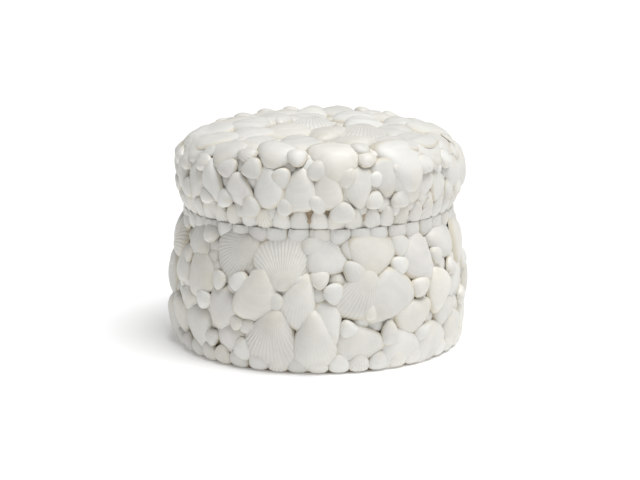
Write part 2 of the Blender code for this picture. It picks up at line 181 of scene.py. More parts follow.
# How the lid's shells bend over its corner: the distance from the corner's centre beyond which they
# are drawn in, by how much, how softly that begins, and how far to the side, as a share of the
# radius, it begins and is full, as the corner is fuller at the front and back
BEND_FROM = 0.0142
BEND_SHARE = 0.95
BEND_EASE = 0.0020
BEND_SIDE = (0.40, 0.85)
# How they are flattened near the top's edge there: radii where that begins and is full, and share
FLAT_RADII = (0.070, 0.090)
FLAT_SHARE = 0.5
# Angle between faces that shows as an edge
SHARP_ANGLE = math.radians(50)

# CAD nodes of the two coats, and the lowest and highest that their shells may reach: clear of the
# ground and of the seam
BODY_COAT = "body_shells"
LID_COAT = "lid_shells"
GROUND_GAP = 0.0004
SEAM_GAP = 0.00002
NO_LIMIT = 1.0
HEIGHTS = {
    BODY_COAT: (GROUND_GAP, SEAM_HEIGHT - SEAM_GAP),
    LID_COAT: (SEAM_HEIGHT + SEAM_GAP, NO_LIMIT),
}
# How much deeper than their outside the inside of the shells is cut there
CUT_INSIDE = 0.0010

# Which rows of the tables below are ribbed or faintly ribbed
BOX_RIBBED = (0, 1, 6, 11)
BOX_FAINT = (2, 4, 7, 8, 10, 14, 15, 16, 23, 24)
BOX_SMALL_RIBBED = (1, 7, 11)
LID_FAINT = (7, 8)
LID_SMALL_RIBBED = (17,)
CORNER_RIBBED = (0,)
TOP_RIBBED = (0, 9, 13, 22)
TOP_FAINT = (2, 6, 12, 16, 19, 25)

# Colours of shells, how often each comes, how their lightness varies and the lightest channel
SHELL_TINTS = (
    ((0.82, 0.81, 0.76), 34),
    ((0.84, 0.835, 0.80), 26),
    ((0.79, 0.78, 0.735), 16),
    ((0.82, 0.80, 0.738), 18),
    ((0.815, 0.795, 0.76), 6),
)
TINT_VARIES = (0.95, 1.05)
LIGHTEST = 0.9
UMBO_COLOUR = (0.78, 0.73, 0.62, 1)
# Painted shade in the rib grooves
GROOVE_SHADE_COLOUR = (0.68, 0.63, 0.54, 1)
# Tan of the margins: glue remains, and painted shade where the shells meet
EDGE_GLUE_AND_SHADE_COLOUR = (0.70, 0.62, 0.46, 1)
GLUE_COLOUR = (0.38, 0.29, 0.19, 1)
GLUE_LIGHT_COLOUR = (0.58, 0.50, 0.39, 1)
WHITE = (1, 1, 1, 1)

# Woods: name, dark and light colour of the grain, and its stretch along X, Y and Z
BOX_WOOD = ("box_wood", (0.36, 0.23, 0.12, 1), (0.52, 0.36, 0.21, 1), (30, 30, 260))
BOARD_WOOD = ("board_wood", (0.32, 0.25, 0.18, 1), (0.48, 0.40, 0.31, 1), (25, 260, 260))

# Finish of the shells. A noise has a rate or scale and a detail, a fade or shade says between
# which values something runs and what it becomes there, a bump has a strength and a depth
OWN_RATE = 57.0
BANDS = (9.0, 2.0)
LINES = (55.0, 1.0)
UMBO_FADE = (0.0, 0.55, 0.62, 0.0)
UMBO_VARIES = (0.0, 1.0, 0.25, 1.0)
# Share of the margin tan near the margin: glue remains and painted shade
EDGE_GLUE_AND_SHADE_FADE = (0.90, 1.0, 0.0, 0.55)
# Share of painted shade in the rib grooves, from how high on a rib a point is
GROOVE_SHADE_FADE = (0.0, 0.75, 0.50, 0.0)
BAND_SHADE = (0.3, 0.7, 0.98, 1.012)
LINE_SHADE = (0.3, 0.7, 0.992, 1.005)
STAIN_NOISE = (70.0, 3.0)
STAIN_SHADE = (0.35, 0.75, 1.02, 0.94)
BAND_ROUGHNESS = (0.3, 0.7, 0.40, 0.58)
LINE_BUMP = (0.04, 0.0002)
BAND_BUMP = (0.06, 0.0004)
CHALK_NOISE = (900.0, 4.0)
CHALK_BUMP = (0.12, 0.0002)

# Finish of the glue and the wood, in the same terms
GLUE_BLOTCHES = (160.0, 5.0)
GLUE_FADE = (0.35, 0.7, 0.0, 1.0)
GLUE_ROUGHNESS = 0.62
GLUE_NOISE = (500.0, 4.0)
GLUE_BUMP = (0.5, 0.0008)
GRAIN_NOISE = (1.0, 6.0)
GRAIN_FADE = (0.3, 0.7, 0.0, 1.0)
GRAIN_ROUGHNESS = (0.3, 0.7, 0.55, 0.75)
GRAIN_BUMP = (0.25, 0.0004)

# Search for gaps between the shells: pitch of the spots, lowest and highest way in mm, share of a
# shell's width that covers, the same for those bent over the corner, which stand off it, how near
# in height, how close bare spots count together and how many ask for a filler, then the fillers'
# lengths, how round they are and how far they sink
GAP_PITCH = 0.0025
GAP_LOWEST = 16
GAP_HIGHEST = 98
GAP_SHARE = 0.84
BENT_SHARE = 0.6
GAP_REACH = 0.009
GAP_NEAR = 0.0065
GAP_CROWD = 3
FILLER_LENGTHS = (0.013, 0.017)
FILLER_ROUNDNESS = (0.85, 1.0)
FILLER_SINK = 0.0026

# Glue bed: points round it, lumps as a sum of waves, with their turns round the box and their rate
# over a span up it, and steps up the box, inside it and round the lid's corner
GLUE_SEGMENTS = 200
GLUE_WAVES = 14
GLUE_TURNS = (3, 40)
GLUE_RATES = (20, 90)
GLUE_RATE_SPAN = 0.1
GLUE_LUMP = 0.0022
BED_STEPS = 32
BED_INNER_STEP = 4
LID_BED_CORNER = 6
BED_PITCH = 0.0035
BED_CENTRE = 0.0005

FLOOR_SIZE = 60.0
FLOOR_COLOUR = (0.90, 0.90, 0.90, 1)
FLOOR_ROUGHNESS = 0.9
FLOOR_SPECULAR = 0.1
WORLD_STRENGTH = 0.18
FLOOR_GLOW = 0.18
# Soft daylight: name, the way it comes from, breadth in degrees, strength
LIGHTS = (
    ("overhead", (0.24, -0.18, 1.0), 40.0, 2.74),
    ("front_right", (1.0, -0.6, 0.5), 35.0, 0.15),
)

# Camera fitted to the photograph: place, degrees that it looks down, lens and sensor in mm
CAMERA_PLACE = (0.0012, -1.4285, 0.3967)
CAMERA_DIP = 12.481
CAMERA_LENS = 100.0
CAMERA_SENSOR = 36.0

# Shells that show at the front of the box: azimuth and height (mm) of the umbo, the same of the
# ventral edge, width (mm)
BOX_LARGE = (
    (-24.5, 97, -43, 82, 36),
    (-12.5, 66.5, -15.5, 104, 39),
    (-3, 81, 8, 99, 31),
    (-20.5, 81, -26, 41, 33),
    (-42.5, 31, -36.5, 60, 27),
    (-29.5, 29, -41.5, 17, 20),
    (-14.5, 50, -19.5, 6.5, 37),
    (-4, 77, -9, 39, 25),
    (-2, 50, -1, 6, 30),
    (5.6, 24, 2.6, 57, 19),
    (20, 76, 22.5, 104, 35),
    (20, 82, 12.5, 46, 31),
    (19, 43, 35, 71, 31),
    (45, 102, 42, 69, 28),
    (47.5, 49, 31.5, 38, 25),
    (11, 37, 19, 10, 37),
    (30.5, 31, 36, 4, 33),
    (47, 31, 52, 4, 34),
    (51, 95, 72, 88, 26),
    (50, 72, 57, 45, 30),
    (66, 42, 54, 32, 22),
    (66, 73, 71, 47, 27),
    (62, 30, 74, 8, 33),
    (-44.5, 64, -60, 69, 32),
    (-51.5, 85, -64.5, 98, 27),
    (-48, 39, -62, 18, 33),
    (-54.5, 50, -67, 42, 18),
    (-62, 62, -74, 78, 28),
    (-66, 40, -76, 18, 30),
)
BOX_SMALL = (
    (-26, 97, -34, 100, 14),
    (-12.8, 66, -15, 81, 15),
    (-6.6, 98, 2.2, 98, 16),
    (1, 67.5, 0.5, 81, 14),
    (-35.3, 68, -27.6, 68, 15),
    (-20, 78, -25.5, 69, 14),
    (-12.7, 58, -18.9, 56, 15),
    (-27, 41.5, -27, 29.5, 16),
    (-29, 39, -35.5, 36, 12),
    (-38, 70, -44, 66, 14),
    (-30, 26, -31, 8.5, 15),
    (-14.5, 50, -17, 35, 17),
    (-4.5, 75, -9.8, 67, 13),
    (-6, 11.5, -6, 26, 15),
    (2, 66, 8.7, 61, 15),
    (16.5, 100, 10.3, 92, 15),
    (17.7, 82, 10, 78, 18),
    (17.4, 46, 23.8, 51, 14),
    (36.8, 83, 30.2, 77, 14),
    (38.5, 98, 31, 94, 16),
    (46, 66, 38, 60, 14),
    (27.5, 40, 28.5, 21, 13),
    (47.5, 29, 40, 23, 12),
    (9.5, 43, 13.5, 30, 13),
    (61, 67, 67, 73, 13),
    (-44.8, 52, -53, 50, 15),
    (-45.5, 100, -54.5, 102, 15),
    (-42.5, 26, -48.6, 17, 12),
    (51, 87, 57, 79, 13),
    (-61, 84, -66, 76, 12),
)

# The same for the lid, where the second and fourth value are the reach (mm): the way up the lid's
# side from its rim, over the corner and in across the top
LID_LARGE = (
    (-33, 43, -32.5, 19.5, 24),
    (-20.3, 50, -20.5, 19, 23),
    (-6.5, 49, -7.5, 18, 23),
    (5, 50, 4, 20, 20),
    (17, 20, 14, 48, 23),
    (29, 27, 24, 53, 21),
    (41, 21, 35.5, 50, 25),
    (-48, 50, -46.5, 20, 22),
    (-52.5, 36, -65, 30, 27),
    (53, 36, 43.5, 31, 18),
    (62, 30, 52.5, 27, 20),
)
LID_SMALL = (
    (-38, 39, -38, 53, 18),
    (-35.7, 21, -43, 23, 14),
    (-30.5, 45, -22.3, 48, 15),
    (-28, 27, -26, 11, 14),
    (-18, 44, -11.3, 39, 15),
    (-9.3, 20, -16, 21, 13),
    (-3.5, 27, 3, 19, 13),
    (0, 55, 0, 40, 16),
    (13.7, 48, 8, 37, 13),
    (23, 53, 15.7, 53, 12),
    (24, 45, 20.2, 37, 11),
    (18.5, 21, 25.5, 26, 13),
    (29.5, 48, 36, 42, 12),
    (29.5, 21, 37.5, 26, 14),
    (9, 24, 9, 8, 18),
    (51, 46, 43, 46, 14),
    (-48, 47, -56, 47, 14),
    (-45, 21, -53, 22, 12),
)
# The same for shells bent over the lid's corner at the front
CORNER_LARGE = (
    (-62, 43, -62, 72, 32),
    (-43, 43, -43, 72, 32),
    (-18.5, 46, -18.5, 73, 31),
    (5.6, 37, 5.6, 74, 39),
    (38, 26, 34, 77, 38),
    (54, 41, 54, 72, 32),
)
CORNER_SMALL = (
    (-34.5, 57, -26, 55, 12),
    (-12.5, 58, -5, 54, 14),
    (14, 64, 22, 60, 14),
    (-54, 60, -50, 50, 13),
    (44, 57, 41, 68, 14),
)
# Shells across the top: x and y (mm) of the umbo, the same of the ventral edge, width (mm)
TOP_LARGE = (
    (-48, -88, -52, -54, 34),
    (-20, -60, -8, -92, 33),
    (28, -92, 22, -58, 33),
    (66, -46, 54, -74, 32),
    (86, -28, 72, -62, 36),
    (-86, -24, -74, -58, 35),
    (-62, -22, -44, -50, 33),
    (-30, -12, -26, -50, 36),
    (2, -58, 4, -22, 34),
    (36, -14, 30, -54, 36),
    (68, -8, 52, -44, 35),
    (-88, 22, -88, -14, 34),
    (-44, 22, -66, -8, 30),
    (-2, 20, -10, -18, 36),
    (30, 26, 42, -12, 34),
    (90, 30, 88, -8, 34),
    (60, 34, 76, 2, 32),
    (-70, 62, -74, 26, 34),
    (-36, 50, -46, 14, 34),
    (4, 56, -20, 30, 33),
    (22, 62, 30, 28, 32),
    (66, 66, 54, 34, 33),
    (-50, 84, -42, 54, 32),
    (-24, 92, -30, 62, 25),
    (-4, 92, -10, 58, 26),
    (26, 94, 14, 64, 30),
    (48, 86, 44, 56, 28),
    (76, 62, 84, 34, 30),
)
TOP_SMALL = (
    (-36, -68, -28, -78, 16),
    (-58, -8, -50, 4, 22),
    (10, -88, 6, -76, 14),
    (-12, -52, -18, -40, 16),
    (14, -44, 22, -34, 15),
    (56, -46, 62, -32, 16),
    (-62, -56, -60, -42, 14),
    (-26, -6, -20, 6, 16),
    (14, 2, 24, 8, 15),
    (50, -2, 56, 10, 15),
    (-78, 8, -72, -4, 14),
    (-54, 24, -58, 38, 15),
    (-20, 26, -30, 34, 14),
    (10, 34, 14, 46, 15),
    (44, 34, 52, 44, 15),
    (76, 16, 84, 24, 14),
    (-60, 62, -52, 72, 15),
    (-14, 72, -18, 84, 15),
    (34, 66, 40, 76, 15),
    (62, 74, 72, 76, 14),
)
# The same for small shells that stand on the others, most of them round the back of the top
TOP_HIGH_SMALL = (
    (-84, 44, -74, 54, 15),
    (-68, 62, -60, 74, 16),
    (-50, 74, -40, 84, 16),
    (-30, 92, -18, 86, 16),
    (-8, 86, 2, 96, 17),
    (12, 98, 22, 88, 16),
    (34, 80, 42, 92, 16),
    (56, 80, 66, 70, 16),
    (80, 56, 86, 44, 15),
    (-36, 22, -26, 14, 14),
    (36, 52, 46, 46, 14),
    (-58, -70, -64, -58, 14),
    (-80, -40, -72, -48, 14),
)

# Hidden back, in mm and degrees: first and last azimuth of the box, the lid's side and its corner,
# then the rows of large shells and of small ones on their joints, with the pitch in each row
BOX_HIDDEN = (84, 278)
LID_HIDDEN = (71, 287)
CORNER_HIDDEN = (73, 280)
BOX_ROWS = (24, 54, 85)
BOX_ROW_PITCH = 17.6
BOX_ROW_SHIFT = 8
BOX_JOINT_ROWS = (39, 70, 99)
BOX_JOINT_PITCH = 13.0
BOX_JOINT_SHIFT = 6
BOX_JOINT_MORE = 4
LID_ROW = 34
LID_ROW_PITCH = 13.0
LID_JOINT_ROWS = (22, 46)
LID_JOINT_MORE = 6
CORNER_UMBO_REACH = 46
CORNER_EDGE_REACH = 72
CORNER_PITCH = 20.5
CORNER_JOINT_REACH = 57
CORNER_JOINT_LENGTH = 14

# Lengths and widths of the shells there in mm, and how roundness, turn, place and way vary
BOX_LENGTHS = (33, 41)
BOX_ROUNDNESS = (0.84, 1.0)
BOX_TURNS = (-150, 150)
BOX_JOINT_LENGTHS = (14, 17)
LID_LENGTHS = (26, 30)
LID_WIDTHS = (22, 25)
LID_TURNS = (-20, 20)
LID_JOINT_LENGTHS = (13, 16)
CORNER_LEANS = (-3, 3)
CORNER_WIDTHS = (34, 40)
ANY_TURN = (-180, 180)
SLIGHT = (-2, 2)
SOME = (-3, 3)
MORE = (-4, 4)


# Places on the glue bed, as in the part


def box_radius(height):
    """Outer radius of the wooden box: a belly that narrows to the foot and to the neck."""
    if height < BELLY_HEIGHT:
        share = (BELLY_HEIGHT - height) / BELLY_HEIGHT
        return BELLY_RADIUS - (BELLY_RADIUS - FOOT_RADIUS) * share ** SWELL_POWER
    share = (height - BELLY_HEIGHT) / (SEAM_HEIGHT - BELLY_HEIGHT)
    return BELLY_RADIUS - (BELLY_RADIUS - NECK_RADIUS) * share ** SWELL_POWER


def lid_outline(offset, steps=CORNER_STEPS):
    """Radius and height from the lid's rim up its side and over its corner to the top's centre."""
    foot = SEAM_HEIGHT + FIT_GAP
    corner = LID_CORNER + offset
    inner = LID_RADIUS - LID_CORNER
    centre = LID_TOP - LID_CORNER
    points = [(LID_FOOT_RADIUS + offset, foot), (LID_RADIUS + offset, foot + LID_CHAMFER)]
    for step in range(steps + 1):
        angle = math.pi / 2 * step / steps
        points.append((inner + corner * math.cos(angle), centre + corner * math.sin(angle)))
    points.append((0, LID_TOP + LID_CROWN + offset))
    return points


def lid_full_reach():
    """Way in mm over the lid's glue bed from its rim to the top's centre."""
    outline = lid_outline(BED)
    return sum(math.dist(low, high) for low, high in zip(outline, outline[1:])) / MM


def around(azimuth, radius, height):
    """Point at an azimuth."""
    angle = math.radians(azimuth)
    return Vector((radius * math.sin(angle), -radius * math.cos(angle), height))


def box_spot(azimuth, height):
    """Point on the glue bed of the box at a height in mm, and the direction away from it."""
    height = height * MM
    step = SLOPE_STEP
    clipped = min(height, SEAM_HEIGHT - step)
    slope = (box_radius(clipped + step) - box_radius(clipped - step)) / (2 * step)
    radius = box_radius(min(height, SEAM_HEIGHT)) + BED
    normal = around(azimuth, 1, -slope).normalized()
    return around(azimuth, radius, height), normal


def lid_spot(azimuth, reach):
    """Point on the glue bed of the lid at a reach in mm from its rim, and the direction away."""
    reach = reach * MM
    outline = lid_outline(BED)
    for (radius, height), (next_radius, next_height) in zip(outline, outline[1:]):
        run = math.hypot(next_radius - radius, next_height - height)
        if reach <= run:
            break
        reach -= run
    share = min(reach / run, 1)
    spot = around(azimuth, radius + (next_radius - radius) * share,
                  height + (next_height - height) * share)
    normal = around(azimuth, next_height - height, radius - next_radius).normalized()
    return spot, normal


def top_spot(x, y):
    """Point on the glue bed of the lid's top at x and y in mm, and the direction away from it."""
    return lid_spot(math.degrees(math.atan2(x, -y)), lid_full_reach() - math.hypot(x, y))


def seat(umbo, edge, lift):
    """Frame of a shell at its umbo (X across, Y to the ventral edge, Z outwards) and its length."""
    along = edge[0] - umbo[0]
    out = umbo[1] + edge[1]
    y_axis = along.normalized()
    z_axis = (out - y_axis * out.dot(y_axis)).normalized()
    turn = Matrix((y_axis.cross(z_axis), y_axis, z_axis)).transposed()
    return turn, umbo[0] + z_axis * lift, along.length


# Rows of shells round the back, in the part's order of random draws


def turned_row(azimuth, way, radius, length, width, turn):
    """Row of a shell centred at an azimuth and a way, its edge turned from straight down."""
    rise = -math.cos(math.radians(turn)) * length / 2
    sweep = math.degrees(math.sin(math.radians(turn)) * length / 2 / radius)
    return (azimuth - sweep, way - rise, azimuth + sweep, way + rise, width)


def spread(first, last, pitch):
    """Azimuths from first to last, about one pitch apart."""
    count = max(1, round((last - first) / pitch))
    return [first + (last - first) * index / count for index in range(count + 1)]


def hidden_box_rows(rng):
    """Large and small rows round the back of the box."""
    first, last = BOX_HIDDEN
    radius = BELLY_RADIUS / MM
    large, small = [], []
    for row, height in enumerate(BOX_ROWS):
        shift = row % 2 * BOX_ROW_SHIFT
        for azimuth in spread(first + shift, last - shift, BOX_ROW_PITCH):
            length = rng.uniform(*BOX_LENGTHS)
            width = length * rng.uniform(*BOX_ROUNDNESS)
            turn = rng.uniform(*BOX_TURNS)
            place = azimuth + rng.uniform(*SLIGHT)
            way = height + rng.uniform(*SOME)
            large.append(turned_row(place, way, radius, length, width, turn))
    for row, height in enumerate(BOX_JOINT_ROWS):
        shift = row % 2 * BOX_JOINT_SHIFT - BOX_JOINT_MORE
        for azimuth in spread(first + shift, last - shift, BOX_JOINT_PITCH):
            length = rng.uniform(*BOX_JOINT_LENGTHS)
            place = azimuth + rng.uniform(*SOME)
            turn = rng.uniform(*ANY_TURN)
            way = height + rng.uniform(*MORE)
            small.append(turned_row(place, way, radius, length, length, turn))
    return large, small


def hidden_lid_rows(rng):
    """Large and small rows round the back of the lid's side."""
    first, last = LID_HIDDEN
    radius = LID_RADIUS / MM
    large, small = [], []
    for azimuth in spread(first, last, LID_ROW_PITCH):
        length = rng.uniform(*LID_LENGTHS)
        turn = rng.choice((0, 180)) + rng.uniform(*LID_TURNS)
        large.append(turned_row(azimuth, LID_ROW, radius, length, rng.uniform(*LID_WIDTHS), turn))
    for reach in LID_JOINT_ROWS:
        for azimuth in spread(first - LID_JOINT_MORE, last + LID_JOINT_MORE, LID_ROW_PITCH):
            length = rng.uniform(*LID_JOINT_LENGTHS)
            turn = rng.uniform(*ANY_TURN)
            place = azimuth + rng.uniform(*SLIGHT)
            way = reach + rng.uniform(*SLIGHT)
            small.append(turned_row(place, way, radius, length, length, turn))
    return large, small


def hidden_corner_rows(rng):
    """Large shells bent over the lid's corner at the back, and small ones on their joints."""
    large, small = [], []
    first, last = CORNER_HIDDEN
    azimuths = spread(first, last, CORNER_PITCH)
    for azimuth in azimuths:
        lean = rng.uniform(*CORNER_LEANS)
        width = rng.uniform(*CORNER_WIDTHS)
        large.append((azimuth - lean, CORNER_UMBO_REACH, azimuth + lean, CORNER_EDGE_REACH, width))
    for azimuth in azimuths[1:]:
        place = azimuth - CORNER_PITCH / 2
        small.append(turned_row(place, CORNER_JOINT_REACH, LID_RADIUS / MM, CORNER_JOINT_LENGTH,
                                CORNER_JOINT_LENGTH, rng.uniform(*ANY_TURN)))
    return large, small


def course_rows(pitch, umbo_way, edge_way, width, lean):
    """Rows of small shells side by side all the way round, leaning away from the front."""
    count = round(360 / pitch)
    rows = []
    for index in range(count):
        azimuth = index * 360 / count
        shift = -lean * math.sin(math.radians(azimuth)) / 2
        rows.append((azimuth + shift, umbo_way, azimuth - shift, edge_way, width))
    return rows


# Fine valves

Shell = namedtuple("Shell", "umbo edge width large lift height kind tint grow tip roll")


def fan_shape(along, taper):
    """Relative width at a share of the length: narrow at the umbo, blunt at the ventral edge."""
    lean = 1 - 2 * along
    power = np.where(lean > 0, UMBO_POWER, EDGE_POWER)
    return np.clip(1 - np.abs(lean) ** power, 1e-6, 1) ** (1 / power) * (1 - taper * lean)


def half_width(along, width, taper):
    """Half the width of a valve at a share of its length; the taper makes it a fan."""
    full = fan_shape(np.linspace(0, 1, WIDTH_STEPS), taper).max()
    return width / 2 * fan_shape(along, taper) / full


def margin(fans, length, width, taper):
    """Across, and share of the length along, where a ray from the umbo meets the margin."""
    turns = np.linspace(0.01, 2 * math.pi - 0.01, OUTLINE_STEPS)
    along = (1 - np.cos(turns)) / 2
    across = np.sign(math.pi - turns) * half_width(along, width, taper)
    bearing = np.arctan2(across, along * length)
    hit = (1 - np.cos(np.interp(-fans, -bearing, turns))) / 2
    return np.sign(fans) * half_width(hit, width, taper), hit


def dome(along, across, width, taper):
    """Height of a valve, 0 to 1, at shares of its length and distances from its middle line."""
    before = np.clip((PEAK_PLACE - along) / PEAK_PLACE, 0, 1)
    beyond = np.clip((along - PEAK_PLACE) / (1 - PEAK_PLACE), 0, 1)
    profile = np.where(along < PEAK_PLACE, (1 - before ** 2) ** UMBO_FULLNESS,
                       (1 - beyond ** 2) ** EDGE_FULLNESS)
    aside = across / half_width(along, width, taper)
    return profile * np.clip(1 - aside ** 2, 0, 1) ** SIDE_FULLNESS


def rising_normals(points):
    """Unit normals of a grid of points, all on the side of +Z."""
    normals = np.cross(np.gradient(points, axis=1), np.gradient(points, axis=0))
    size = np.linalg.norm(normals, axis=-1, keepdims=True)
    normals = np.where(size > 0, normals / np.maximum(size, 1e-15), (0, 0, 1))
    return normals * np.where(normals[..., 2:] < 0, -1, 1)


def valve(length, shell, rng):
    """Points of a closed thin valve, umbo at the origin, with its growth marks and ring counts.

    A growth mark is the stage of growth, how high on a rib the point is, which the material
    turns into painted shade in the rib grooves, and the valve's own random number, by which the
    material varies.
    """
    kind, large = shell.kind, shell.large
    taper = (FAN_TAPER if large else SMALL_FAN_TAPER) * rng.uniform(*TAPER_VARIES)
    height = length * shell.height
    back = UMBO_BACK * length
    length = length * (GROW_LONG if large else SMALL_GROW_LONG)
    width = shell.width * shell.grow
    rests = sorted(rng.uniform(*REST_STAGES) for _ in range(kind.rests))
    stages = set(LARGE_STAGES if large else SMALL_STAGES)
    for rest in rests:
        stages |= {rest - REST_SHARPNESS, rest + REST_SHARPNESS}
    stages = np.array(sorted(stages, reverse=True))[:, None]
    fans = np.linspace(-FAN_REACH, FAN_REACH, kind.columns)
    edge_across, edge_along = margin(fans, length, width, taper)
    skew = rng.uniform(-SKEW, SKEW) * width * SKEW_FACTOR
    slant = rng.uniform(-SLANT, SLANT) if large else 0
    along = stages * edge_along
    across = stages * edge_across
    rise = dome(along, across, width, taper)
    beak = BEAK * rise * np.exp(-(along / BEAK_REACH) ** 2)
    slanted = 1 + slant * across / width
    outer = np.stack([across + skew * along * (1 - along), length * (along * slanted - beak),
                      height * rise], axis=-1)
    ridges = np.abs(np.sin((fans / FAN_REACH + 1) / 2 * math.pi * kind.ribs)) ** RIB_FULLNESS
    ridges = ridges if kind.ribs else np.full(kind.columns, PLAIN_RIDGE)
    ridges = np.tile(ridges, (len(stages), 1))
    onset = np.clip(stages * RIB_ONSET, 0, 1)
    relief = kind.rib_height * length * (ridges - RIB_LEVEL) * onset
    for rest in rests:
        relief = relief - REST_DEPTH * length * np.clip(
            (stages - rest + REST_SHARPNESS) / (2 * REST_SHARPNESS), 0, 1)
    phase = rng.uniform(0, 2 * math.pi)
    relief = relief + WAVE * length * np.sin(stages * WAVE_RATE + phase) * (1 - stages)
    outer = outer + rising_normals(outer) * relief[..., None]
    inside = np.array(HOLLOW_STAGES)[:, None]
    across = inside * edge_across * HOLLOW_SHARE
    along = inside * edge_along
    rise = dome(along, across / HOLLOW_SHARE, width, taper)
    along = 0.5 + (along - 0.5) * HOLLOW_SHARE
    slanted = 1 + slant * across / width
    inner = np.stack([across + skew * along * (1 - along), length * along * slanted,
                      (height - WALL) * rise - RIM], axis=-1)
    middle = length * (1 - HOLLOW_SHARE) / 2
    points = np.concatenate([outer.reshape(-1, 3), [(0, 0, 0)], inner.reshape(-1, 3),
                             [(0, middle, -RIM)]])
    points[:, 1] -= back
    own = rng.random()
    marks = np.full((len(points), 3), own)
    count = outer.shape[0] * outer.shape[1]
    marks[:count, 0] = np.tile(stages, (1, kind.columns)).ravel()
    # How high on a rib each point is, scaled by the rib's height: it sets the painted shade in the
    # rib grooves
    marks[:count, 1] = 1 - (1 - ridges.ravel()) * kind.rib_height / RIBBED.rib_height
    marks[count:, :2] = INSIDE_MARKS
    return points, marks, len(stages), count


def valve_faces(columns, outer_rings, first):
    """Faces of a valve whose points start at first: outer face, rim and inner face."""
    faces = []
    inner_first = first + outer_rings * columns + 1
    inner_rings = len(HOLLOW_STAGES)
    for column in range(columns):
        after = (column + 1) % columns
        for ring in range(outer_rings - 1):
            low = first + ring * columns
            high = low + columns
            faces.append((low + column, high + column, high + after, low + after))
        last = first + (outer_rings - 1) * columns
        faces.append((last + column, inner_first - 1, last + after))
        faces.append((first + column, first + after, inner_first + after, inner_first + column))
        for ring in range(inner_rings - 1):
            low = inner_first + ring * columns
            high = low + columns
            faces.append((low + column, low + after, high + after, high + column))
        last = inner_first + (inner_rings - 1) * columns
        faces.append((last + column, last + after, inner_first + inner_rings * columns))
    return faces


def bent_over_corner(points):
    """Points beyond the lid's corner drawn in, most where it slants halfway, and flattened."""
    radius = np.hypot(points[:, 0], points[:, 1])
    out = np.maximum(radius - (LID_RADIUS - LID_CORNER), 0)
    up = np.maximum(points[:, 2] - (LID_TOP - LID_CORNER), 0)
    reach = np.maximum(np.hypot(out, up), 1e-9)
    slant = 2 * out * up / reach ** 2
    begin, full = BEND_SIDE
    sideways = np.abs(points[:, 0]) / np.maximum(radius, 1e-9)
    aside = np.clip((sideways - begin) / (full - begin), 0, 1)
    beyond = np.maximum(reach - BEND_FROM, 0)
    share = 1 - aside * slant * BEND_SHARE * beyond ** 2 / (beyond + BEND_EASE) / reach
    inwards = (radius - out * (1 - share)) / np.maximum(radius, 1e-9)
    bent = points.copy()
    bent[:, :2] *= inwards[:, None]
    bent[:, 2] -= up * (1 - share)
    first, last = FLAT_RADII
    flat = FLAT_SHARE * aside * np.clip((radius - first) / (last - first), 0, 1)
    bent[:, 2] -= flat * np.maximum(bent[:, 2] - LID_TOP - BED, 0)
    return bent


def draw_back(rings, low, high):
    """First points of each column beyond the lowest or highest level drawn back onto it."""
    for level, side in ((low, -1), (high, 1)):
        beyond = (rings[..., 2] - level) * side
        for near, far in ((slice(1, None), slice(None, -1)), (slice(None, -1), slice(1, None))):
            crossing = (beyond[near] <= 0) & (beyond[far] > 0)
            share = beyond[near][crossing] / (beyond[near][crossing] - beyond[far][crossing])
            start = rings[near][crossing]
            rings[far][crossing] = start + (rings[far][crossing] - start) * share[:, None]


def shell_piece(name, shells, node, material, rng):
    """One piece of separate closed valves, cut flat where box and lid meet and at the foot."""
    low, high = HEIGHTS[node]
    all_points, all_marks, all_tints, faces = [], [], [], []
    first = 0
    for shell in shells:
        turn, place, length = seat(shell.umbo, shell.edge, shell.lift)
        points, marks, rings, outer_count = valve(length, shell, rng)
        middle = np.array((0, length / 2, 0))
        tipped = np.array(Matrix.Rotation(math.radians(shell.tip), 3, "X")
                          @ Matrix.Rotation(math.radians(shell.roll), 3, "Y"))
        points = ((points - middle) @ tipped.T + middle) @ np.array(turn).T + np.array(place)
        if node == LID_COAT:
            points = bent_over_corner(points)
        outer = points[:outer_count].reshape(rings, -1, 3)
        draw_back(outer, low, high)
        cut = np.full(len(points), CUT_INSIDE)
        cut[:outer_count] = 0
        points[:, 2] = np.clip(points[:, 2], low + cut, high - cut)
        all_points.append(points)
        all_marks.append(marks)
        all_tints.append(np.tile((*shell.tint, 1.0), (len(points), 1)))
        faces += valve_faces(shell.kind.columns, rings, first)
        first += len(points)
    data = bpy.data.meshes.new(name)
    data.from_pydata(np.concatenate(all_points), [], faces)
    growth = data.attributes.new("growth", "FLOAT_VECTOR", "POINT")
    growth.data.foreach_set("vector", np.concatenate(all_marks).ravel())
    tint = data.attributes.new("tint", "FLOAT_COLOR", "POINT")
    tint.data.foreach_set("color", np.concatenate(all_tints).ravel())
    data.shade_smooth()
    data.set_sharp_from_angle(angle=SHARP_ANGLE)
    add_piece(name, data, node, material)


def add_object(name, data):
    """Object with some data, in the scene."""
    thing = bpy.data.objects.new(name, data)
    bpy.context.scene.collection.objects.link(thing)
    return thing


def add_piece(name, data, node, material):
    """Put a mesh in the scene as a piece that stands for a CAD node."""
    data.materials.append(material)
    piece = add_object(name, data)
    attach(piece, "root")
    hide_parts(node)


def pick_tint(rng):
    """Colour of a shell, drawn from the mixed shells, a little varied."""
    colour = rng.choices([colour for colour, share in SHELL_TINTS],
                         [share for colour, share in SHELL_TINTS])[0]
    light = rng.uniform(*TINT_VARIES)
    return tuple(min(channel * light, LIGHTEST) for channel in colour)


